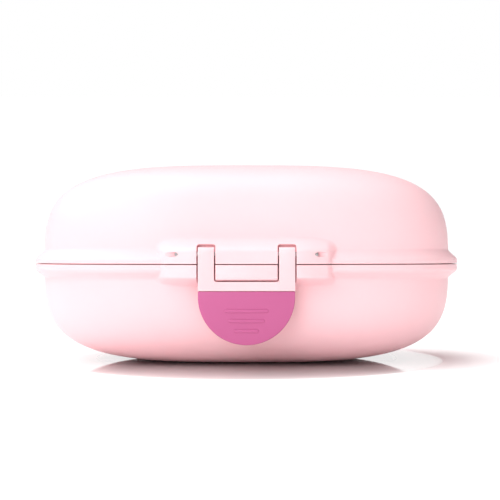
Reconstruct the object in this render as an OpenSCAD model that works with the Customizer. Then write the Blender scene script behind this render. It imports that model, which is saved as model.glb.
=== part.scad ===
// Clip-latch snack box: a two-shell clamshell with a rear pin hinge, a front
// swing latch on a steel pin, a silicone rim seal and a lift-out divider.
// Frame: +Z up, +X to the right of someone facing the latch, -Y to the front.
// The origin is the centre of the flat foot that the box stands on.

/* [Shells] */
// Width of a shell at the parting plane, without the rim bead
body_w = 141; // [120:1:170]
// Depth of a shell at the parting plane, without the rim bead
body_d = 106; // [96:1:120]
// Height of each shell from the parting plane
half_h = 34; // [30:0.5:40]
// Wall thickness at the crown of each shell
wall = 2; // [1.6:0.1:2.6]
// Power of the plan curve: 2 is an ellipse, more is squarer
plan_power = 3; // [2.4:0.1:4]
// Power of the upright curve: 2 is an ellipse, more is squarer
side_power = 3.55; // [2.6:0.05:4.2]

/* [Rim] */
// How far the rim bead stands out from the wall
bead_out = 3; // [2:0.1:4]
// Open gap between the two rims
rim_gap = 0.3; // [0.2:0.05:0.5]
// Height of the base's sealing lip above the parting plane
lip_h = 3; // [2:0.1:4]

/* [Latch] */
// Width of the latch
latch_w = 30.8; // [26:0.2:36]
// Width of each latch leg
leg_w = 5.1; // [4:0.1:6]
// Height of the latch pin above the parting plane
pin_up = 3.2; // [3:0.1:4]
// Radius of the latch pin
pin_r = 0.8; // [0.7:0.05:1]
// Inward lean of the thumb tab in degrees
tab_lean = 5; // [0:1:8]

/* [Hinge] */
// Length of the hinge barrel
barrel_l = 50; // [40:1:60]
// Radius of the hinge barrel
barrel_r = 3; // [2.6:0.1:3.2]
// Radius of the hinge pin
hinge_pin_r = 1; // [0.8:0.05:1.2]

/* [Divider] */
// Thickness of the divider
divider_t = 1.6; // [1.4:0.1:2]
// Distance of the divider from the middle of the box
divider_x = 0; // [0:1:24]

/* [Hidden] */
$fn = 48;

// Half sizes of the shells, and the height of the parting plane
wall_a = body_w / 2;
wall_c = body_d / 2;
part_z = half_h;

// Flat foot: the base's curve would reach this far below the floor
foot_sink = 0.25;

// Inner half sizes: the lid is thin all over, and the base thickens to its lip
lid_in = [wall_a - wall, wall_c - wall];
fit_gap = 0.4;
lip_t = 1.6;
lip_out = [lid_in[0] - fit_gap, lid_in[1] - fit_gap];
lip_in = [lip_out[0] - lip_t, lip_out[1] - lip_t];
base_in = [lip_in[0] + 0.2, lip_in[1] + 0.2];
crown_in = half_h - wall;

// Rim bead: full until the first height, gone by the second
lid_bead = [1.0, 4.9];
base_bead = [1.6, 5.0];

// Front boss: how far it stands out, its flat half width, how far and over what
// width it falls back beside that, and where its ends start and stop. From the
// rim it is full for the first height given here, and slopes away over the second.
boss_out = 7;
boss_flat = 15.8;
boss_fall = 3;
boss_soft = 14.5;
boss_end = [25.3, 29.5];
lid_boss = [3.8, 5];
base_boss = [3.9, 3.2];
boss_y = -(wall_c + boss_out);

// Rear pad: it fills the wall out to the bead behind the hinge
pad_out = bead_out;

// Latch pin, the leg's eye round it, and the slots that the legs lie in
pin_y = boss_y + 2.3;
eye_r = 2.3;
pin_l = 45.6;
pin_hole_r = pin_r + 0.02;
eye_hole_r = pin_r + 0.06;
play = 0.45;
slot_back = pin_y + eye_r + 0.4;
slot_top = pin_up + eye_r + 0.9;
slot_round = 0.8;
slot_deep = 12;
slot_out = latch_w / 2 + play;
slot_in = latch_w / 2 - leg_w - play;

// Catch: the base's block between the legs, and the latch bar that hooks it
catch_low = 5.1;
bar_top = 5.5;
bar_low = 8.4;
leg_t = 3.4;
hook_in = 1.2;
hook_low = 7.4;
hook_half = 9;
hook_gap = 1.6;

// Thumb tab: straight sides of this length, then a half circle
tab_straight = 1.8;
bar_root = 0.8;
tab_back_t = 1.4;
tab_face_t = 1.6;
tab_inset = 0.2;
peg_r = 1.2;
peg_x = 8;
peg_drop = 5;
peg_gap = 0.05;
grip_bars = [[-6.2, 6.4], [-9.4, 5.2], [-12.6, 3.4]];
grip_r = 0.55;
grip_proud = 0.3;

// Hinge: the lid has the middle knuckle and the base the two outer ones
hinge_y = wall_c + bead_out + barrel_r + 0.4;
knuckle_gap = 0.3;
lid_knuckle = 25.4;
hinge_hole_fixed = hinge_pin_r + 0.02;
hinge_hole_free = hinge_pin_r + 0.06;

// Silicone seal: it sits in a groove in the lid, just above the base's lip
seal_low = lip_h + 0.05;
seal_h = 2.2;
seal_in = [lip_in[0] - 0.2, lip_in[1] - 0.2];
seal_out = [lid_in[0] + 0.5, lid_in[1] + 0.5];
groove_gap = 0.08;

// Divider: its top edge, its gap to the shell, and the pairs of guide ribs
// that hold its ends
divider_top = 1.6;
divider_gap = 0.35;
divider_points = 14;
rib_t = 1.2;
rib_in = 2.4;
rib_top = -3;
rib_low = -22;
thumb_r = 9;
thumb_up = 4.4;

// Resolution of the two shells
columns = 96;
rim_levels = [0, 0.6, 1.2, 2, 2.8, 3.6, 4.4, 5.2, 6.2, 7.4, 9];
crown_steps = 10;
inner_steps = 10;

// ---- Curves ---------------------------------------------------------------

// Plan radius of a rounded rectangle with half sizes h, in direction t
function plan_r(t, h) =
    pow(pow(abs(cos(t)) / h[0], plan_power)
        + pow(abs(sin(t)) / h[1], plan_power), -1 / plan_power);

// Outward direction of that curve at direction t
function plan_n(t, h) =
    let (c = cos(t), s = sin(t),
         g = [sign(c) * pow(abs(c) / h[0], plan_power - 1) / h[0],
              sign(s) * pow(abs(s) / h[1], plan_power - 1) / h[1]])
    g / norm(g);

// Share of the plan size that is left at height w of a dome of height h
function dome(w, h) =
    w >= h ? 0 : pow(1 - pow(w / h, side_power), 1 / side_power);

// Height at which a dome of height h has shrunk to share f
function dome_w(f, h) = h * pow(1 - pow(f, side_power), 1 / side_power);

// Smooth step from 0 to 1
function soft(t) = let (u = min(1, max(0, t))) u * u * (3 - 2 * u);

// Stand-out of the rim bead at height w
function bead(w, range) =
    bead_out * (1 - soft((w - range[0]) / (range[1] - range[0])));

// Stand-out of the front boss, or of the rear pad, at width x and height w
function boss(x, y, w, range) =
    let (past = max(0, abs(x) - boss_flat),
         size = y < 0 ? boss_out - boss_fall * soft(past / boss_soft) : pad_out,
         full = 1 - soft((abs(x) - boss_end[0]) / (boss_end[1] - boss_end[0])),
         u = past / (boss_end[1] - boss_flat))
    full == 0 ? 0 :
    size * full
    * (1 - soft((w - range[0]) / (range[1] * sqrt(1 - pow(u, 4)))));

// Direction of column i: the columns lie closer together at the front and back
function column_t(i) = let (t = 360 * i / columns) t + 12 * sin(2 * t);

// A closed plan outline
function outline(h) =
    [for (i = [0 : columns - 1])
        let (t = column_t(i)) plan_r(t, h) * [cos(t), sin(t)]];

// ---- Shells ---------------------------------------------------------------

// One point of a shell's outside, w above its rim
function skin_point(t, w, h, bead_range, boss_range) =
    let (f = dome(w, h),
         half = [wall_a, wall_c],
         p = f * plan_r(t, half) * [cos(t), sin(t)],
         out = max(bead(w, bead_range), boss(p[0], p[1], w, boss_range)),
         q = p + out * plan_n(t, half))
    [q[0], q[1], w];

// The joining faces between two rings of points that start at a and b
function band(a, b) =
    [for (i = [0 : columns - 1])
        let (j = (i + 1) % columns)
        each [[a + i, b + i, a + j], [a + j, b + i, b + j]]];

// A dome-shaped shell standing on z = 0, with its rim open below.
// h is the dome's height, and top is where its crown is cut flat.
module shell_skin(h, top, inner, bead_range, boss_range) {
    rim_end = dome(rim_levels[len(rim_levels) - 1], h);
    flat = dome(top, h);
    steps = flat > 0 ? crown_steps : crown_steps + 1;
    levels = concat(rim_levels,
        [for (k = [1 : crown_steps])
            dome_w(rim_end * cos(acos(flat / rim_end) * k / steps), h)]);
    inner_levels =
        [for (k = [0 : inner_steps])
            let (f = k == 0 ? 1 : cos(90 * k / (inner_steps + 1)))
            dome_w(f, crown_in)];
    outer_pts = [for (w = levels) for (i = [0 : columns - 1])
        skin_point(column_t(i), w, h, bead_range, boss_range)];
    inner_pts = [for (w = inner_levels)
        let (f = dome(w, crown_in))
        for (p = outline(inner)) [f * p[0], f * p[1], w]];
    n = len(levels);
    m = len(inner_levels);
    inner_at = n * columns;
    crown = (n + m) * columns;
    polyhedron(
        points = concat(outer_pts, inner_pts, [[0, 0, top], [0, 0, crown_in]]),
        faces = concat(
            [for (k = [0 : n - 2]) each band(k * columns, (k + 1) * columns)],
            [for (k = [0 : m - 2])
                each band(inner_at + (k + 1) * columns, inner_at + k * columns)],
            band(inner_at, 0),
            [for (i = [0 : columns - 1])
                let (j = (i + 1) % columns)
                each [[(n - 1) * columns + i, crown, (n - 1) * columns + j],
                      [inner_at + (m - 1) * columns + j, crown + 1,
                       inner_at + (m - 1) * columns + i]]]),
        convexity = 6);
}

// A ring that follows the rim, between two plan sizes and two heights
module rim_ring(outer, inner, low, high) {
    translate([0, 0, low])
        linear_extrude(high - low)
            difference() {
                polygon(outline(outer));
                polygon(outline(inner));
            }
}

// A round bar along X, centred on x = 0
module x_bar(r, l, y, z) {
    translate([-l / 2, y, z]) rotate([0, 90, 0]) cylinder(r = r, h = l);
}

// Both copies of something, left and right
module both() {
    children();
    mirror([1, 0, 0]) children();
}

// The slot of one latch leg, seen from the front, with rounded top corners
module leg_slot(low, high) {
    w = slot_out - slot_in;
    translate([slot_in, slot_back, 0]) rotate([90, 0, 0]) linear_extrude(slot_deep) {
        translate([0, low]) square([w, high - low - slot_round]);
        translate([slot_round, low])
            square([w - 2 * slot_round, high - low]);
        for (x = [slot_round, w - slot_round])
            translate([x, high - slot_round]) circle(r = slot_round);
    }
}

// One knuckle of the rear hinge from x0, with its web to the shell.
// side is 1 for a web above the parting plane and -1 for one below it.
module knuckle(x0, l, side) {
    web_y = wall_c - 1;
    low = side > 0 ? rim_gap / 2 : -barrel_r;
    translate([x0, hinge_y, 0]) rotate([0, 90, 0])
        cylinder(r = barrel_r, h = l);
    translate([x0, web_y, low])
        cube([l, hinge_y - web_y, barrel_r - rim_gap / 2]);
}

module base_shell() {
    outer_knuckle = (barrel_l - lid_knuckle) / 2 - knuckle_gap;
    color("#fbdde3") translate([0, 0, part_z]) difference() {
        union() {
            translate([0, 0, -rim_gap / 2]) mirror([0, 0, 1])
                shell_skin(half_h + foot_sink - rim_gap / 2,
                    half_h - rim_gap / 2, base_in, base_bead, base_boss);
            rim_ring(lip_out, lip_in, -1.5, lip_h);
            for (side = [-1, 1]) guide_ribs(side);
            both() knuckle(barrel_l / 2 - outer_knuckle, outer_knuckle, -1);
        }
        both() leg_slot(-bar_top - 1, pin_up);
        catch_pocket();
        x_bar(hinge_hole_fixed, barrel_l + 2, hinge_y, 0);
    }
    color("#fbdde3") translate([0, 0, part_z]) catch_block();
}

// Space under the catch for the latch bar and its hook
module catch_pocket() {
    low = bar_low + hook_gap;
    translate([-slot_out, boss_y - hook_gap, -low])
        cube([2 * slot_out, slot_back - boss_y + hook_gap, low - rim_gap / 2]);
}

// The block that the latch hooks under, with a rounded lower front edge
module catch_block() {
    r = 0.9;
    back = slot_back + 2.4;
    translate([-slot_in, 0, 0]) rotate([90, 0, 90])
        linear_extrude(2 * slot_in) {
            translate([boss_y, -catch_low + r])
                square([back - boss_y, catch_low - r - rim_gap / 2]);
            translate([boss_y + r, -catch_low])
                square([back - boss_y - r, catch_low - rim_gap / 2]);
            translate([boss_y + r, -catch_low + r]) circle(r = r);
        }
}

// Half depth of the base's inside at the divider, at height z
function inner_y(z) =
    let (f = z > 0 ? 1 : dome(-z, crown_in),
         half = z > 0 ? lip_in : base_in)
    f * half[1] * pow(1 - pow(divider_x / (f * half[0]), plan_power), 1 / plan_power);

// Heights from the rim down to the floor at the divider
function divider_levels(from, to) =
    [for (k = [0 : divider_points]) from + (to - from) * sin(90 * k / divider_points)];

// Two guide ribs on the front wall (side -1) or the rear wall (side 1)
module guide_ribs(side) {
    levels = divider_levels(rib_top, rib_low);
    down = [for (z = levels) [side * (inner_y(z) + 1), z]];
    up = [for (k = [divider_points : -1 : 0])
        [side * (inner_y(levels[k]) - rib_in), levels[k]]];
    gap = divider_t + 2 * divider_gap;
    for (x = [divider_x - gap / 2 - rib_t, divider_x + gap / 2])
        translate([x, 0, 0]) rotate([90, 0, 90]) linear_extrude(rib_t)
            polygon(concat(down, up));
}

module lid_shell() {
    color("#fbdde3") translate([0, 0, part_z]) difference() {
        union() {
            translate([0, 0, rim_gap / 2])
                shell_skin(half_h - rim_gap / 2, half_h - rim_gap / 2,
                    lid_in, lid_bead, lid_boss);
            knuckle(-lid_knuckle / 2, lid_knuckle, 1);
        }
        both() leg_slot(-1, slot_top);
        x_bar(pin_hole_r, body_w, pin_y, pin_up);
        x_bar(hinge_hole_free, lid_knuckle + 2, hinge_y, 0);
        rim_ring([seal_out[0] + groove_gap, seal_out[1] + groove_gap],
            [seal_in[0] - 2, seal_in[1] - 2],
            seal_low - groove_gap, seal_low + seal_h + groove_gap);
    }
}

module seal_ring() {
    color("#f4f0f0") translate([0, 0, part_z])
        rim_ring(seal_out, seal_in, seal_low, seal_low + seal_h);
}

module divider() {
    floor_z = divider_gap - crown_in - rim_gap / 2;
    levels = divider_levels(divider_top, floor_z + 1.2);
    right = [for (z = levels) [inner_y(z - divider_gap) - divider_gap, z]];
    left = [for (k = [divider_points : -1 : 0]) [-right[k][0], right[k][1]]];
    color("#f7eef0") translate([divider_x - divider_t / 2, 0, part_z])
        rotate([90, 0, 90]) linear_extrude(divider_t) difference() {
            polygon(concat(right, left));
            translate([0, divider_top + thumb_up]) circle(r = thumb_r);
        }
}

// Front outline of the thumb tab, with its top edge above y = 0 by above
module tab_outline(r, above = 0) {
    translate([-r, -tab_straight]) square([2 * r, tab_straight + above]);
    difference() {
        translate([0, -tab_straight]) circle(r = r, $fn = 96);
        translate([-2 * r, -tab_straight]) square([4 * r, 2 * r]);
    }
}

// Places something drawn in the tab's plane: x to the right, y up, z outward
module on_tab() {
    translate([0, boss_y, -bar_low - tab_face_t * sin(tab_lean)])
        rotate([tab_lean, 0, 0])
        rotate([90, 0, 0]) children();
}

module latch_frame() {
    half = latch_w / 2;
    color("#fdeef1") translate([0, 0, part_z]) difference() {
        union() {
            both() translate([half - leg_w, 0, 0]) {
                translate([0, pin_y, pin_up]) rotate([0, 90, 0])
                    cylinder(r = eye_r, h = leg_w);
                translate([0, boss_y, -bar_low])
                    cube([leg_w, leg_t, bar_low + pin_up]);
            }
            translate([-half, boss_y, -bar_low])
                cube([latch_w, leg_t, bar_low - bar_top]);
            translate([-hook_half, boss_y, -hook_low])
                cube([2 * hook_half, leg_t + hook_in, hook_low - bar_top]);
            on_tab() translate([0, 0, -tab_face_t - tab_back_t])
                linear_extrude(tab_back_t) tab_outline(half - tab_inset, bar_root);
        }
        x_bar(eye_hole_r, latch_w + 2, pin_y, pin_up);
        both() on_tab() translate([peg_x, -peg_drop, -2 * (tab_face_t + tab_back_t)])
            cylinder(r = peg_r + peg_gap, h = 2 * (tab_face_t + tab_back_t));
    }
}

module latch_face() {
    color("#e070aa") translate([0, 0, part_z]) on_tab() {
        translate([0, 0, -tab_face_t])
            linear_extrude(tab_face_t) tab_outline(latch_w / 2);
        both() translate([peg_x, -peg_drop, -tab_face_t - tab_back_t])
            cylinder(r = peg_r, h = tab_back_t + 0.4);
        for (bar = grip_bars)
            translate([0, bar[0], -0.2]) linear_extrude(grip_proud + 0.2) {
                square([2 * bar[1], 2 * grip_r], center = true);
                for (x = [-bar[1], bar[1]])
                    translate([x, 0]) circle(r = grip_r);
            }
    }
}

module latch_pin() {
    color("silver") translate([0, 0, part_z])
        x_bar(pin_r, pin_l, pin_y, pin_up);
}

module hinge_pin() {
    color("silver") translate([0, 0, part_z])
        x_bar(hinge_pin_r, barrel_l - 1, hinge_y, 0);
}

base_shell();
lid_shell();
seal_ring();
divider();
latch_frame();
latch_face();
latch_pin();
hinge_pin();
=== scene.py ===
"""Looks of the clip-latch snack box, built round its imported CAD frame.

Metres in Blender. The shape functions work in millimetres, measured from the
parting plane of the two shells, and mesh_object() turns them into metres.
"""
import math

import bmesh
import bpy
import numpy as np
from mathutils import Matrix, Vector


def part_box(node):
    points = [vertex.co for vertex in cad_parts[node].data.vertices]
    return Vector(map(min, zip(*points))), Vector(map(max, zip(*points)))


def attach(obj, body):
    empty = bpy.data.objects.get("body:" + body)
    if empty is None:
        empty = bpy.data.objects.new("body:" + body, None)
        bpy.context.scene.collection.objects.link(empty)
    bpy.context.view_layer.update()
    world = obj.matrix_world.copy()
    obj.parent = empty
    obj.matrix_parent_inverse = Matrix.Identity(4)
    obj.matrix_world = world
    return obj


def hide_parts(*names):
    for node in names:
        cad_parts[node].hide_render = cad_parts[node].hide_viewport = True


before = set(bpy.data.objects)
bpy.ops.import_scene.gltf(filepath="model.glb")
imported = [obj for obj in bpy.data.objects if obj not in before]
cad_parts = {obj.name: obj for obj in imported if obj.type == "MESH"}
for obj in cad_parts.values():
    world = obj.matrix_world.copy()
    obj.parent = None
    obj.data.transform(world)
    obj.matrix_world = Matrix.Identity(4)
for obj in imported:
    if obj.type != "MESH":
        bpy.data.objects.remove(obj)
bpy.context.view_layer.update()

MM = 0.001
COLUMNS = 640


# ---- Sizes in millimetres, from the frame ----------------------------------

def box_mm(node):
    """A CAD node's lowest and highest corners in millimetres."""
    low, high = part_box(node)
    return [c / MM for c in low], [c / MM for c in high]


RIM_GAP = 0.3
WALL = 2.0
BEAD_OUT = 3.0
PLAN_POWER = 3.0
SIDE_POWER = 3.55
FOOT_SINK = 0.25

lid_low, lid_high = box_mm("lid_shell")
pin_low, pin_high = box_mm("latch_pin")
hinge_low, hinge_high = box_mm("hinge_pin")
latch_high = box_mm("latch_frame")[1]

HALF_H = lid_high[2] / 2
PART_Z = HALF_H
WALL_A = lid_high[0] - BEAD_OUT
BOSS_OUT = 7.0
BOSS_Y = lid_low[1]
WALL_C = -BOSS_Y - BOSS_OUT
CROWN_IN = HALF_H - WALL

# Play round a pin that is fixed, and round one that turns
FIXED_FIT = 0.02
FREE_FIT = 0.06

# How far cutters run past what they cut, and joined shapes into one another:
# barely, a little, and well clear
LAP = 0.1
OVER = 1.0
CLEAR = 5.0

# Rings of a shell's outside: evenly spaced by height up to NEAR_TOP, then by angle
# to the crown. At the rim, each height is tucked in to round the edge.
NEAR_TOP = 9.0
NEAR_LOW = 0.3
NEAR_RINGS = 34
FAR_RINGS = 30
EDGE_HEIGHTS = (0.17, 0.07)
EDGE_TUCKS = ((0.02, 0.06), (0.0, 0.2))

# Rim bead and boss: full until the first height, sloping away after it
LID_BEAD = (1.0, 4.9)
BASE_BEAD = (1.6, 5.0)
BOSS_FLAT = 15.8
BOSS_FALL = 3.0
BOSS_SOFT = 14.5
BOSS_END = (25.3, 29.5)
LID_BOSS = (3.8, 5.0)
BASE_BOSS = (3.9, 3.2)

# Inside of the lid, base lip, base and seal: insets from the body wall, and
# heights from the parting plane
LID_INSET = WALL
LID_EDGE = 0.2
LIP_OUT_INSET = 2.4
LIP_IN_INSET = 4.0
LIP_ROUND = 0.4
LIP_CUT = 0.12
LIP_FOOT = -0.6
BASE_INSET = 3.8
BASE_START = 2.0
LIP_H = 3.0
SEAL_LOW = 3.05
SEAL_H = 2.2
SEAL_OUT_INSET = 1.5
SEAL_IN_INSET = 4.2
SEAL_ROUND = 0.5
GROOVE_GAP = 0.08
GROOVE_EDGE = 0.1

# Latch
PLAY = 0.45
LATCH_HALF = latch_high[0]
LEG_W = 5.1
LEG_T = 3.4
EYE_R = 2.3
EYE_ROOM_BACK = 0.4
EYE_ROOM_TOP = 0.9
PIN_R = (pin_high[2] - pin_low[2]) / 2
PIN_Y = (pin_low[1] + pin_high[1]) / 2
PIN_UP = (pin_low[2] + pin_high[2]) / 2 - PART_Z
SLOT_BACK = PIN_Y + EYE_R + EYE_ROOM_BACK
SLOT_TOP = PIN_UP + EYE_R + EYE_ROOM_TOP
SLOT_OUT = LATCH_HALF + PLAY
SLOT_IN = LATCH_HALF - LEG_W - PLAY
SLOT_ROUND = 0.8
PIN_BORE_HALF = 40.0
CATCH_LOW = 5.1
CATCH_NOSE_R = 0.9
CATCH_DEEP = 2.4
BAR_TOP = 5.5
BAR_LOW = 8.4
HOOK_IN = 1.2
HOOK_LOW = 7.4
HOOK_HALF = 9.0
HOOK_GAP = 1.6
HOOK_ROOT = 1.0
WINDOW_ROUND = 0.8
TAB_STRAIGHT = 1.8
TAB_LEAN = 5.0
TAB_FACE_T = 1.6
TAB_BACK_T = 1.4
TAB_INSET = 0.2
TAB_TOP = -BAR_LOW - TAB_FACE_T * math.sin(math.radians(TAB_LEAN))
GRIP_BARS = ((-6.2, 6.4), (-9.4, 5.2), (-12.6, 3.4))
GRIP_R = 0.55
GRIP_PROUD = 0.3
GRIP_ROOT = 0.3

# Hinge
HINGE_R = (hinge_high[2] - hinge_low[2]) / 2
HINGE_Y = (hinge_low[1] + hinge_high[1]) / 2
BARREL_R = 3.0
BARREL_L = 50.0
LID_KNUCKLE = 25.4
KNUCKLE_GAP = 0.3

# Divider and its guide ribs
divider_low, divider_high = box_mm("divider")
DIVIDER_X = (divider_low[0] + divider_high[0]) / 2
DIVIDER_T = divider_high[0] - divider_low[0]
DIVIDER_TOP = 1.6
DIVIDER_GAP = 0.35
DIVIDER_RISE = 1.2
RIB_T = 1.2
RIB_IN = 2.4
RIB_TOP = -3.0
RIB_LOW = -22.0
THUMB_R = 9.0
THUMB_UP = 4.4


# ---- Shape functions --------------------------------------------------------

def soft(t):
    """Smooth step from 0 to 1."""
    u = np.clip(t, 0, 1)
    return u * u * (3 - 2 * u)


def plan_r(t, half):
    """Plan radius of a rounded rectangle with half sizes half, in direction t."""
    a, c = half
    p = (np.abs(np.cos(t)) / a) ** PLAN_POWER + (np.abs(np.sin(t)) / c) ** PLAN_POWER
    return p ** (-1 / PLAN_POWER)


def plan_n(t, half):
    """Outward direction of that curve at direction t."""
    a, c = half
    gx = np.sign(np.cos(t)) * (np.abs(np.cos(t)) / a) ** (PLAN_POWER - 1) / a
    gy = np.sign(np.sin(t)) * (np.abs(np.sin(t)) / c) ** (PLAN_POWER - 1) / c
    size = np.hypot(gx, gy)
    return gx / size, gy / size


def dome(w, h):
    """Share of the plan size that is left at height w of a dome of height h."""
    return 0.0 if w >= h else (1 - (w / h) ** SIDE_POWER) ** (1 / SIDE_POWER)


def dome_w(f, h):
    """Height at which a dome of height h has shrunk to share f."""
    return h * (1 - f ** SIDE_POWER) ** (1 / SIDE_POWER)


def bead(w, fall):
    """Stand-out of the rim bead at height w from the rim."""
    return BEAD_OUT * (1 - soft((w - fall[0]) / (fall[1] - fall[0])))


def boss(x, y, w, fall):
    """Stand-out of the front boss, or of the rear pad behind the hinge."""
    past = np.maximum(0, np.abs(x) - BOSS_FLAT)
    size = np.where(y < 0, BOSS_OUT - BOSS_FALL * soft(past / BOSS_SOFT), BEAD_OUT)
    full = 1 - soft((np.abs(x) - BOSS_END[0]) / (BOSS_END[1] - BOSS_END[0]))
    u = np.minimum(1, past / (BOSS_END[1] - BOSS_FLAT))
    drop = np.maximum(fall[1] * np.sqrt(1 - u ** 4), 1e-6)
    return size * full * (1 - soft((w - fall[0]) / drop))


angles = np.linspace(0, 2 * math.pi, COLUMNS, endpoint=False)


def inset_ring(inset, z, share=1.0):
    """A plan ring inside the body wall, at height z."""
    r = share * plan_r(angles, (WALL_A - inset, WALL_C - inset))
    return np.stack([r * np.cos(angles), r * np.sin(angles), np.full(COLUMNS, z)], 1)


def skin_ring(w, h, side, bead_fall, boss_fall, tuck=0.0):
    """A ring of a shell's outside, w from its rim. side is 1 for the lid, -1 for the base.

    tuck draws the ring in, to round the rim's edge.
    """
    half = (WALL_A, WALL_C)
    r = dome(w, h) * plan_r(angles, half)
    x, y = r * np.cos(angles), r * np.sin(angles)
    out = np.maximum(bead(w, bead_fall), boss(x, y, w, boss_fall)) - tuck
    nx, ny = plan_n(angles, half)
    z = side * (RIM_GAP / 2 + w)
    return np.stack([x + out * nx, y + out * ny, np.full(COLUMNS, z)], 1)


# ---- Mesh tools -------------------------------------------------------------

def mesh_object(name, points, faces):
    """A mesh object from millimetre points measured from the parting plane."""
    mesh = bpy.data.meshes.new(name)
    placed = [(x * MM, y * MM, (z + PART_Z) * MM) for x, y, z in points]
    mesh.from_pydata(placed, [], faces)
    bm = bmesh.new()
    bm.from_mesh(mesh)
    bmesh.ops.recalc_face_normals(bm, faces=bm.faces)
    bm.to_mesh(mesh)
    bm.free()
    obj = bpy.data.objects.new(name, mesh)
    bpy.context.scene.collection.objects.link(obj)
    return obj


def ring_object(name, rings, loop=False):
    """A closed surface through rings of points. Without loop, both ends close in a pole."""
    n = len(rings[0])
    points = np.concatenate(rings).tolist()
    faces = []
    last = len(rings) if loop else len(rings) - 1
    for k in range(last):
        a, b = k * n, (k + 1) % len(rings) * n
        for i in range(n):
            j = (i + 1) % n
            faces.append((a + i, a + j, b + j, b + i))
    if not loop:
        for ring in (0, len(rings) - 1):
            pole = len(points)
            points.append(np.mean(rings[ring], axis=0).tolist())
            faces += [(ring * n + i, ring * n + (i + 1) % n, pole) for i in range(n)]
    return mesh_object(name, points, faces)


def prism(name, outline, low, high, axis):
    """A closed prism. axis "x" takes the outline as (y, z), and axis "y" as (x, z)."""
    n = len(outline)
    points = []
    for depth in (low, high):
        for p, q in outline:
            points.append((depth, p, q) if axis == "x" else (p, depth, q))
    faces = [tuple(range(n)), tuple(range(2 * n - 1, n - 1, -1))]
    faces += [(i, (i + 1) % n, n + (i + 1) % n, n + i) for i in range(n)]
    return mesh_object(name, points, faces)


def block(name, low, high):
    """A rectangular tool."""
    (x0, y0, z0), (x1, y1, z1) = low, high
    return prism(name, [(y0, z0), (y1, z0), (y1, z1), (y0, z1)], x0, x1, "x")


def arc(cx, cy, r, start, end, steps=8):
    """Points along an arc, in degrees."""
    turn = [math.radians(start + (end - start) * k / steps) for k in range(steps + 1)]
    return [(cx + r * math.cos(a), cy + r * math.sin(a)) for a in turn]


def bar_x(name, r, x0, x1, y, z, chamfer=0.0, sides=64):
    """A round bar along X, with optional chamfered ends."""
    if chamfer:
        ends = [(x0, r - chamfer), (x0 + chamfer, r), (x1 - chamfer, r), (x1, r - chamfer)]
    else:
        ends = [(x0, r), (x1, r)]
    turn = np.linspace(0, 2 * math.pi, sides, endpoint=False)
    rings = [np.stack([np.full(sides, x), y + q * np.cos(turn), z + q * np.sin(turn)], 1)
             for x, q in ends]
    return ring_object(name, rings)


def settle(obj):
    """Applies an object's modifiers to its mesh."""
    graph = bpy.context.evaluated_depsgraph_get()
    mesh = bpy.data.meshes.new_from_object(obj.evaluated_get(graph))
    obj.modifiers.clear()
    obj.data = mesh


def combine(obj, tools, operation):
    """Boolean of obj with each tool in turn. The tools are used up."""
    for tool in tools:
        step = obj.modifiers.new("cut", "BOOLEAN")
        step.operation = operation
        step.solver = "EXACT"
        step.object = tool
        settle(obj)
        bpy.data.objects.remove(tool)
    return obj


def round_edges(obj, width, angle=35, segments=2):
    """Rounds the edges that are sharper than angle."""
    step = obj.modifiers.new("edges", "BEVEL")
    step.width = width * MM
    step.segments = segments
    step.limit_method = "ANGLE"
    step.angle_limit = math.radians(angle)
    settle(obj)
    return obj


def smooth(obj, angle=32):
    """Smooth shading, with a crease wherever faces meet at more than angle."""
    bm = bmesh.new()
    bm.from_mesh(obj.data)
    bmesh.ops.remove_doubles(bm, verts=bm.verts, dist=1e-7)
    bmesh.ops.dissolve_degenerate(bm, edges=bm.edges, dist=1e-7)
    for face in bm.faces:
        face.smooth = True
    for edge in bm.edges:
        edge.smooth = len(edge.link_faces) == 2 and edge.calc_face_angle(0) < math.radians(angle)
    bm.to_mesh(obj.data)
    bm.free()
    return obj


# ---- Shells -----------------------------------------------------------------

def skin_rings(h, top, side, bead_fall, boss_fall):
    """Rings of a shell's outside, from its crown to its rounded rim edge."""
    near = [*np.linspace(NEAR_TOP, NEAR_LOW, NEAR_RINGS), *EDGE_HEIGHTS]
    start, flat = dome(NEAR_TOP, h), dome(top, h)
    # A crown without a flat ends in ring_object's pole, so its last ring is left out
    steps = FAR_RINGS if flat > 0 else FAR_RINGS + 1
    turn = math.acos(flat / start)
    far = [dome_w(start * math.cos(turn * k / steps), h) for k in range(FAR_RINGS, 0, -1)]
    rings = [skin_ring(w, h, side, bead_fall, boss_fall) for w in [*far, *near]]
    rings += [skin_ring(w, h, side, bead_fall, boss_fall, tuck) for w, tuck in EDGE_TUCKS]
    return rings


def inner_rings(inset, side, start_w, steps=22):
    """Rings of a shell's inside, from height start_w to its crown."""
    turn = math.acos(dome(start_w, CROWN_IN))
    rings = []
    for k in range(steps):
        f = math.cos(turn + (math.pi / 2 - turn) * k / steps)
        w = dome_w(f, CROWN_IN)
        rings.append(inset_ring(inset, side * (RIM_GAP / 2 + w), f))
    return rings


def leg_slots(name, low, high):
    """Cutters for the two slots that the latch legs lie in."""
    outline = [(SLOT_IN, low), (SLOT_OUT, low)]
    outline += arc(SLOT_OUT - SLOT_ROUND, high - SLOT_ROUND, SLOT_ROUND, 0, 90)
    outline += arc(SLOT_IN + SLOT_ROUND, high - SLOT_ROUND, SLOT_ROUND, 90, 180)
    mirrored = [(-x, z) for x, z in reversed(outline)]
    return [prism(name, o, BOSS_Y - CLEAR, SLOT_BACK, "y") for o in (outline, mirrored)]


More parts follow.
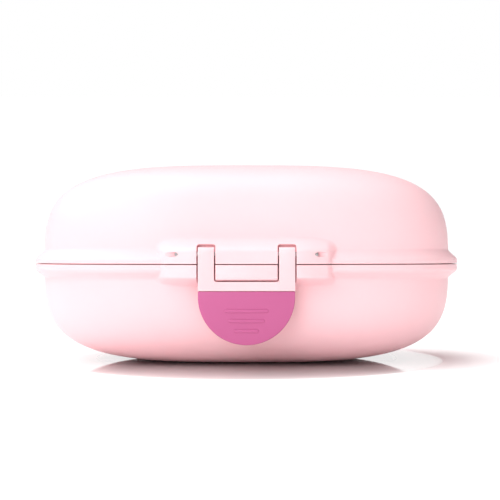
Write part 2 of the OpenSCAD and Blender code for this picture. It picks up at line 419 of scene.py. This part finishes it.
def knuckle(name, x0, x1, side):
    """A hinge knuckle from x0 to x1 with its web to the shell."""
    web_y = WALL_C - OVER
    edge = side * RIM_GAP / 2
    if side > 0:
        outline = [(web_y, edge), (HINGE_Y - BARREL_R, edge)]
        outline += arc(HINGE_Y, 0, BARREL_R, 180, 450, steps=40)
        outline += [(web_y, BARREL_R)]
    else:
        outline = [(web_y, -BARREL_R), *arc(HINGE_Y, 0, BARREL_R, -90, 180, steps=40)]
        outline += [(HINGE_Y - BARREL_R, edge), (web_y, edge)]
    return prism(name, outline, x0, x1, "x")


def inner_y(z):
    """Half depth of the base's inside at the divider, at height z."""
    f = 1 if z > 0 else dome(-z, CROWN_IN)
    inset = LIP_IN_INSET if z > 0 else BASE_INSET
    share = DIVIDER_X / (f * (WALL_A - inset))
    return f * (WALL_C - inset) * (1 - share ** PLAN_POWER) ** (1 / PLAN_POWER)


def divider_levels(start, end, steps=24):
    """Heights from start down to end, closer together near end."""
    return [start + (end - start) * math.sin(math.pi / 2 * k / steps) for k in range(steps + 1)]


def rib_outline(side):
    """A guide rib's outline on the front (-1) or rear (1) wall."""
    levels = divider_levels(RIB_TOP, RIB_LOW)
    outline = [(side * (inner_y(z) + OVER), z) for z in levels]
    return outline + [(side * (inner_y(z) - RIB_IN), z) for z in reversed(levels)]


def make_base():
    """The base: skin, rim, sealing lip and inside, then its fittings."""
    h = HALF_H + FOOT_SINK - RIM_GAP / 2
    rings = skin_rings(h, HALF_H - RIM_GAP / 2, -1, BASE_BEAD, BASE_BOSS)
    rings += [
        inset_ring(LIP_OUT_INSET, -RIM_GAP / 2),
        inset_ring(LIP_OUT_INSET, LIP_H - LIP_ROUND),
        inset_ring(LIP_OUT_INSET + LIP_CUT, LIP_H - LIP_CUT),
        inset_ring(LIP_OUT_INSET + LIP_ROUND, LIP_H),
        inset_ring(LIP_IN_INSET - LIP_ROUND, LIP_H),
        inset_ring(LIP_IN_INSET - LIP_CUT, LIP_H - LIP_CUT),
        inset_ring(LIP_IN_INSET, LIP_H - LIP_ROUND),
        inset_ring(LIP_IN_INSET, LIP_FOOT),
    ]
    rings += inner_rings(BASE_INSET, -1, BASE_START)
    base = ring_object("base", rings)
    outer = (BARREL_L - LID_KNUCKLE) / 2 - KNUCKLE_GAP
    side_gap = DIVIDER_T / 2 + DIVIDER_GAP
    add = []
    for s in (-1, 1):
        edges = sorted((s * BARREL_L / 2, s * (BARREL_L / 2 - outer)))
        add.append(knuckle("knuckle", *edges, -1))
        for x in (DIVIDER_X - side_gap - RIB_T, DIVIDER_X + side_gap):
            rib = prism("rib", rib_outline(s), x, x + RIB_T, "x")
            add.append(round_edges(rib, width=0.25))
    combine(base, add, "UNION")
    cut = leg_slots("slot", -BAR_TOP - OVER, PIN_UP)
    cut.append(block("pocket", (-SLOT_OUT, BOSS_Y - HOOK_GAP, -BAR_LOW - HOOK_GAP),
                     (SLOT_OUT, SLOT_BACK, RIM_GAP)))
    bore_half = BARREL_L / 2 + CLEAR
    cut.append(bar_x("bore", HINGE_R + FIXED_FIT, -bore_half, bore_half, HINGE_Y, 0))
    combine(base, cut, "DIFFERENCE")
    back = SLOT_BACK + CATCH_DEEP
    r = CATCH_NOSE_R
    outline = [(BOSS_Y, -RIM_GAP / 2), *arc(BOSS_Y + r, -CATCH_LOW + r, r, 180, 270)]
    outline += [(back, -CATCH_LOW), (back, -RIM_GAP / 2)]
    catch = round_edges(prism("catch", outline, -SLOT_IN, SLOT_IN, "x"), width=0.15)
    combine(base, [catch], "UNION")
    return smooth(base)


def make_lid():
    """The lid: skin, rim, inside with the seal's groove, then its fittings."""
    h = HALF_H - RIM_GAP / 2
    rings = skin_rings(h, h, 1, LID_BEAD, LID_BOSS)
    low, high = SEAL_LOW - GROOVE_GAP, SEAL_LOW + SEAL_H + GROOVE_GAP
    deep = SEAL_OUT_INSET - GROOVE_GAP
    rings += [
        inset_ring(LID_INSET - LID_EDGE, RIM_GAP / 2),
        inset_ring(LID_INSET, RIM_GAP / 2 + LID_EDGE),
        inset_ring(LID_INSET, low - GROOVE_EDGE),
        inset_ring(LID_INSET - GROOVE_EDGE, low),
        inset_ring(deep, low),
        inset_ring(deep, high),
        inset_ring(LID_INSET - GROOVE_EDGE, high),
    ]
    rings += inner_rings(LID_INSET, 1, high + GROOVE_EDGE - RIM_GAP / 2)
    lid = ring_object("lid", rings)
    combine(lid, [knuckle("knuckle", -LID_KNUCKLE / 2, LID_KNUCKLE / 2, 1)], "UNION")
    cut = leg_slots("slot", -OVER, SLOT_TOP)
    cut.append(bar_x("bore", PIN_R + FIXED_FIT, -PIN_BORE_HALF, PIN_BORE_HALF, PIN_Y, PIN_UP))
    cut.append(bar_x("bore", HINGE_R + FREE_FIT, -LID_KNUCKLE, LID_KNUCKLE, HINGE_Y, 0))
    combine(lid, cut, "DIFFERENCE")
    return smooth(lid)


# ---- Latch ------------------------------------------------------------------

def tab_outline(r, steps=64):
    """Front outline of the thumb tab in its own plane, with its top edge at 0."""
    return [(r, 0), *arc(0, -TAB_STRAIGHT, r, 0, -180, steps), (-r, 0)]


def lean_tab(obj):
    """Moves something drawn in the tab's plane, its front at y = 0, onto the latch."""
    place = Matrix.Translation(Vector((0, BOSS_Y, TAB_TOP)) * MM)
    raised = Matrix.Translation(Vector((0, 0, PART_Z)) * MM)
    turn = Matrix.Rotation(math.radians(TAB_LEAN), 4, "X")
    obj.data.transform(raised @ place @ turn @ raised.inverted())
    return obj


def make_latch_frame():
    """The pale U: two legs with eyes on the pin, the cross bar, its hook, the tab's back."""
    # The eye's round runs from the leg's front, over the top, to the leg's back
    meet = math.degrees(math.acos((LEG_T - EYE_R) / EYE_R))
    side = [(BOSS_Y, -BAR_LOW), *arc(PIN_Y, PIN_UP, EYE_R, 180, -meet, steps=28)]
    side += [(BOSS_Y + LEG_T, -BAR_LOW)]
    inner = LATCH_HALF - LEG_W
    legs = [prism("leg", side, *x, "x") for x in ((-LATCH_HALF, -inner), (inner, LATCH_HALF))]
    r = WINDOW_ROUND
    bar = [(inner + LAP, -BAR_LOW), (inner + LAP, r - BAR_TOP)]
    bar += arc(inner - r, r - BAR_TOP, r, 0, -90)
    bar += arc(r - inner, r - BAR_TOP, r, -90, -180)
    bar += [(-inner - LAP, r - BAR_TOP), (-inner - LAP, -BAR_LOW)]
    cross = prism("cross", bar, BOSS_Y, BOSS_Y + LEG_T, "y")
    hook = block("hook", (-HOOK_HALF, BOSS_Y + HOOK_ROOT, -HOOK_LOW),
                 (HOOK_HALF, BOSS_Y + LEG_T + HOOK_IN, -BAR_TOP))
    back = lean_tab(prism("back", tab_outline(LATCH_HALF - TAB_INSET), TAB_FACE_T,
                          TAB_FACE_T + TAB_BACK_T, "y"))
    latch = combine(cross, [*legs, hook, back], "UNION")
    eye_half = LATCH_HALF + OVER
    eye = bar_x("eye", PIN_R + FREE_FIT, -eye_half, eye_half, PIN_Y, PIN_UP)
    combine(latch, [eye], "DIFFERENCE")
    latch.name = "latch_u"
    return smooth(round_edges(latch, width=0.22, segments=3), angle=40)


def make_tab():
    """The hot pink thumb tab with its three grip ridges."""
    face = prism("tab", tab_outline(LATCH_HALF), 0, TAB_FACE_T, "y")
    round_edges(face, width=0.35, segments=3)
    ridges = []
    for z, half in GRIP_BARS:
        outline = arc(half, z, GRIP_R, -90, 90) + arc(-half, z, GRIP_R, 90, 270)
        ridge = prism("ridge", outline, -GRIP_PROUD, GRIP_ROOT, "y")
        ridges.append(round_edges(ridge, width=0.2, segments=3))
    combine(face, ridges, "UNION")
    face.name = "thumb_tab"
    return smooth(lean_tab(face), angle=40)


# ---- Small pieces -----------------------------------------------------------

def make_seal():
    """The silicone ring, with rounded corners, in the lid's groove."""
    mid = (SEAL_IN_INSET + SEAL_OUT_INSET) / 2
    half_w = (SEAL_IN_INSET - SEAL_OUT_INSET) / 2
    z = SEAL_LOW + SEAL_H / 2
    r = SEAL_ROUND
    corners = ((1, 1, 0), (-1, 1, 90), (-1, -1, 180), (1, -1, 270))
    path = []
    for sx, sz, start in corners:
        inset, height = mid + sx * (half_w - r), z + sz * (SEAL_H / 2 - r)
        path += arc(inset, height, r, start, start + 90, steps=5)
    ring = ring_object("seal", [inset_ring(d, q) for d, q in path], loop=True)
    return smooth(ring, angle=50)


def make_divider():
    """The lift-out wall across the base, with a thumb hollow in its top edge."""
    floor_z = DIVIDER_GAP - CROWN_IN - RIM_GAP / 2
    levels = divider_levels(DIVIDER_TOP, floor_z + DIVIDER_RISE)
    right = [(inner_y(z - DIVIDER_GAP) - DIVIDER_GAP, z) for z in levels]
    left = [(-y, z) for y, z in reversed(right)]
    dip = math.degrees(math.asin(THUMB_UP / THUMB_R))
    hollow = arc(0, DIVIDER_TOP + THUMB_UP, THUMB_R, 180 + dip, 360 - dip, steps=32)
    x = (DIVIDER_X - DIVIDER_T / 2, DIVIDER_X + DIVIDER_T / 2)
    wall = prism("divider_wall", [*left, *hollow, *right], *x, "x")
    return smooth(round_edges(wall, width=0.35, segments=3), angle=40)


# ---- Pieces -----------------------------------------------------------------

base = make_base()
lid = make_lid()
latch = make_latch_frame()
tab = make_tab()
seal = make_seal()
divider = make_divider()
latch_pin = bar_x("pin_front", PIN_R, pin_low[0], pin_high[0], PIN_Y, PIN_UP, chamfer=0.2)
hinge_pin = bar_x("pin_rear", HINGE_R, hinge_low[0], hinge_high[0], HINGE_Y, 0, chamfer=0.25)
for pin in (latch_pin, hinge_pin):
    smooth(pin, angle=30)


# ---- Materials --------------------------------------------------------------

# How far the plastic's roughness and colour stray from their own values
GLOSS_SPREAD = 0.05
MOTTLE = 0.02


def plastic(name, colour, roughness, grain, depth, subsurface):
    """Moulded plastic: a fine grain in surface and gloss, and a faint mottle in the colour.

    grain is the number of grains to a metre, and depth is their height in metres.
    """
    mat = bpy.data.materials.new(name)
    mat.use_nodes = True
    tree = mat.node_tree
    shader = tree.nodes["Principled BSDF"]
    shader.inputs["IOR"].default_value = 1.46
    shader.inputs["Subsurface Weight"].default_value = subsurface
    shader.inputs["Subsurface Radius"].default_value = (1.0, 0.45, 0.5)
    shader.inputs["Subsurface Scale"].default_value = 0.003
    place = tree.nodes.new("ShaderNodeTexCoord")
    cloud = tree.nodes.new("ShaderNodeTexNoise")
    cloud.inputs["Scale"].default_value = 40
    cloud.inputs["Detail"].default_value = 3
    tree.links.new(place.outputs["Object"], cloud.inputs["Vector"])
    tint = tree.nodes.new("ShaderNodeMix")
    tint.data_type = "RGBA"
    tint.inputs[6].default_value = (*[c * (1 - MOTTLE) for c in colour], 1)
    tint.inputs[7].default_value = (*[min(1, c * (1 + MOTTLE)) for c in colour], 1)
    tree.links.new(cloud.outputs["Fac"], tint.inputs[0])
    tree.links.new(tint.outputs[2], shader.inputs["Base Color"])
    fine = tree.nodes.new("ShaderNodeTexNoise")
    fine.inputs["Scale"].default_value = grain
    fine.inputs["Detail"].default_value = 4
    fine.inputs["Roughness"].default_value = 0.6
    tree.links.new(place.outputs["Object"], fine.inputs["Vector"])
    gloss = tree.nodes.new("ShaderNodeMapRange")
    gloss.inputs["To Min"].default_value = roughness - GLOSS_SPREAD
    gloss.inputs["To Max"].default_value = roughness + GLOSS_SPREAD
    tree.links.new(fine.outputs["Fac"], gloss.inputs["Value"])
    tree.links.new(gloss.outputs["Result"], shader.inputs["Roughness"])
    bump = tree.nodes.new("ShaderNodeBump")
    bump.inputs["Strength"].default_value = 0.35
    bump.inputs["Distance"].default_value = depth
    tree.links.new(fine.outputs["Fac"], bump.inputs["Height"])
    tree.links.new(bump.outputs["Normal"], shader.inputs["Normal"])
    return mat


def steel():
    """Drawn wire: faint lines along its length."""
    mat = bpy.data.materials.new("steel")
    mat.use_nodes = True
    tree = mat.node_tree
    shader = tree.nodes["Principled BSDF"]
    shader.inputs["Metallic"].default_value = 1
    place = tree.nodes.new("ShaderNodeTexCoord")
    stretch = tree.nodes.new("ShaderNodeMapping")
    stretch.inputs["Scale"].default_value = (60, 4000, 4000)
    tree.links.new(place.outputs["Object"], stretch.inputs["Vector"])
    lines = tree.nodes.new("ShaderNodeTexNoise")
    lines.inputs["Scale"].default_value = 1
    lines.inputs["Detail"].default_value = 3
    tree.links.new(stretch.outputs["Vector"], lines.inputs["Vector"])
    ramp = tree.nodes.new("ShaderNodeMapRange")
    ramp.inputs["To Min"].default_value = 0.2
    ramp.inputs["To Max"].default_value = 0.4
    tree.links.new(lines.outputs["Fac"], ramp.inputs["Value"])
    tree.links.new(ramp.outputs["Result"], shader.inputs["Roughness"])
    tint = tree.nodes.new("ShaderNodeMix")
    tint.data_type = "RGBA"
    tint.inputs[6].default_value = (0.36, 0.34, 0.35, 1)
    tint.inputs[7].default_value = (0.5, 0.48, 0.48, 1)
    tree.links.new(lines.outputs["Fac"], tint.inputs[0])
    tree.links.new(tint.outputs[2], shader.inputs["Base Color"])
    return mat


shell_plastic = plastic("shell_plastic", (0.97, 0.61, 0.643), 0.46, 1400, 4e-5, 0.12)
latch_plastic = plastic("latch_plastic", (0.96, 0.60, 0.63), 0.42, 1400, 3e-5, 0.15)
tab_plastic = plastic("tab_plastic", (0.52, 0.106, 0.272), 0.42, 1400, 3e-5, 0.05)
divider_plastic = plastic("divider_plastic", (0.90, 0.74, 0.77), 0.36, 900, 2e-5, 0.1)
silicone = plastic("silicone", (0.86, 0.82, 0.82), 0.34, 700, 1.5e-5, 0.3)
wire_steel = steel()

pieces = (
    (base, "base", ["base_shell"], shell_plastic, "shell_plastic"),
    (lid, "lid", ["lid_shell"], shell_plastic, "shell_plastic"),
    (latch, "latch", ["latch_frame"], latch_plastic, "latch_plastic"),
    (tab, "latch", ["latch_face"], tab_plastic, "tab_plastic"),
    (seal, "lid", ["seal_ring"], silicone, "seal_silicone"),
    (divider, "base", ["divider"], divider_plastic, "divider_plastic"),
    (latch_pin, "lid", ["latch_pin"], wire_steel, "pin_steel"),
    (hinge_pin, "base", ["hinge_pin"], wire_steel, "pin_steel"),
)
for piece, body, nodes, material, slot in pieces:
    piece.data.materials.clear()
    piece.data.materials.append(material)
    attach(piece, body)
    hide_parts(*nodes)


# ---- Studio -----------------------------------------------------------------

# In metres: half the floor's size, the half sizes of the oval of gloss and painted shadow
# round the box, and the glowing card behind the box
REACH = 4.0
SHADE_OVAL_HALF = (0.062, 0.078)
CARD_Y = 1.5
CARD_HALF = 0.8
CARD_TOP = 0.25

# The shares of the oval between which its gloss and painted shadow fade, and how metallic it is,
# which darkens it as painted shadow
SHADE_OVAL_FADE = (0.82, 1.12)
PAINTED_SHADOW_METAL = 0.2

# The white world's strength for light that falls on things, and in reflections
AMBIENT = 0.58
REFLECTED = 0.2


def flat_sheet(name, corners, material):
    """A staged rectangle in metres."""
    mesh = bpy.data.meshes.new(name)
    mesh.from_pydata(corners, [], [(0, 1, 2, 3)])
    obj = bpy.data.objects.new(name, mesh)
    bpy.context.scene.collection.objects.link(obj)
    obj.data.materials.append(material)


def soft_sun(name, towards, energy, spread):
    """A distant light that shines along towards, from a disc of spread degrees."""
    data = bpy.data.lights.new(name, "SUN")
    data.energy = energy
    data.angle = math.radians(spread)
    obj = bpy.data.objects.new(name, data)
    bpy.context.scene.collection.objects.link(obj)
    obj.rotation_euler = Vector(towards).to_track_quat("-Z", "Y").to_euler()


def floor_paint():
    """The pale floor: in an oval round the box it is glossy, so it reflects the box, and partly
    metallic, which darkens it as painted shadow; dull beyond it.
    """
    mat = bpy.data.materials.new("floor_paint")
    mat.use_nodes = True
    tree = mat.node_tree
    shader = tree.nodes["Principled BSDF"]
    shader.inputs["Base Color"].default_value = (0.94, 0.92, 0.92, 1)
    shader.inputs["Roughness"].default_value = 0.03
    place = tree.nodes.new("ShaderNodeTexCoord")
    stretch = tree.nodes.new("ShaderNodeMapping")
    stretch.inputs["Scale"].default_value = (1 / SHADE_OVAL_HALF[0], 1 / SHADE_OVAL_HALF[1], 0)
    tree.links.new(place.outputs["Object"], stretch.inputs["Vector"])
    away = tree.nodes.new("ShaderNodeVectorMath")
    away.operation = "LENGTH"
    tree.links.new(stretch.outputs["Vector"], away.inputs[0])
    # Oval mask round the box: it sets the floor's gloss, and through its metallic share a
    # painted shadow
    gloss_and_shadow = tree.nodes.new("ShaderNodeMapRange")
    gloss_and_shadow.interpolation_type = "SMOOTHSTEP"
    gloss_and_shadow.inputs["From Min"].default_value = SHADE_OVAL_FADE[0]
    gloss_and_shadow.inputs["From Max"].default_value = SHADE_OVAL_FADE[1]
    gloss_and_shadow.inputs["To Min"].default_value = 1.0
    gloss_and_shadow.inputs["To Max"].default_value = 0.0
    tree.links.new(away.outputs["Value"], gloss_and_shadow.inputs["Value"])
    tree.links.new(gloss_and_shadow.outputs["Result"], shader.inputs["Specular IOR Level"])
    # Painted shadow: the metallic share darkens the floor's diffuse light in the oval round the
    # box
    shadow_metal = tree.nodes.new("ShaderNodeMath")
    shadow_metal.operation = "MULTIPLY"
    shadow_metal.inputs[1].default_value = PAINTED_SHADOW_METAL
    tree.links.new(gloss_and_shadow.outputs["Result"], shadow_metal.inputs[0])
    tree.links.new(shadow_metal.outputs["Value"], shader.inputs["Metallic"])
    return mat


def card_paint():
    """A white glow."""
    mat = bpy.data.materials.new("card_paint")
    mat.use_nodes = True
    shader = mat.node_tree.nodes["Principled BSDF"]
    shader.inputs["Base Color"].default_value = (0, 0, 0, 1)
    shader.inputs["Emission Color"].default_value = (1, 1, 1, 1)
    shader.inputs["Emission Strength"].default_value = 1.0
    return mat


def studio_world():
    """White to the camera, and dimmer for what lights and what is reflected."""
    world = bpy.data.worlds.new("studio")
    world.use_nodes = True
    tree = world.node_tree
    backing = tree.nodes["Background"]
    backing.inputs["Color"].default_value = (1, 1, 1, 1)
    path = tree.nodes.new("ShaderNodeLightPath")
    last = None
    for kind, strength in (("Is Diffuse Ray", AMBIENT), ("Is Glossy Ray", REFLECTED)):
        dim = tree.nodes.new("ShaderNodeMath")
        dim.operation = "MULTIPLY_ADD"
        dim.inputs[1].default_value = strength - 1
        dim.inputs[2].default_value = 1.0
        tree.links.new(path.outputs[kind], dim.inputs[0])
        if last:
            tree.links.new(last.outputs["Value"], dim.inputs[2])
        last = dim
    tree.links.new(last.outputs["Value"], backing.inputs["Strength"])
    return world


flat_sheet("floor", [(-REACH, -REACH, 0), (REACH, -REACH, 0), (REACH, REACH, 0),
                     (-REACH, REACH, 0)], floor_paint())
flat_sheet("card", [(-CARD_HALF, CARD_Y, 0), (CARD_HALF, CARD_Y, 0),
                    (CARD_HALF, CARD_Y, CARD_TOP), (-CARD_HALF, CARD_Y, CARD_TOP)],
           card_paint())
bpy.context.scene.world = studio_world()
bpy.context.scene.view_settings.view_transform = "Standard"

soft_sun("key", (0.45, 0.70, -0.54), energy=1.47, spread=50)
soft_sun("low", (0.36, 0.92, -0.08), energy=0.4, spread=36)
soft_sun("top", (0.42, -0.22, -0.86), energy=2.3, spread=60)

camera_data = bpy.data.cameras.new("camera")
camera = bpy.data.objects.new("camera", camera_data)
bpy.context.scene.collection.objects.link(camera)
bpy.context.scene.camera = camera
camera_data.lens = 104.8
camera_data.sensor_width = 36
camera.location = (0, -0.520, 0.0386)
camera.rotation_euler = (math.radians(90), 0, math.radians(-0.138))
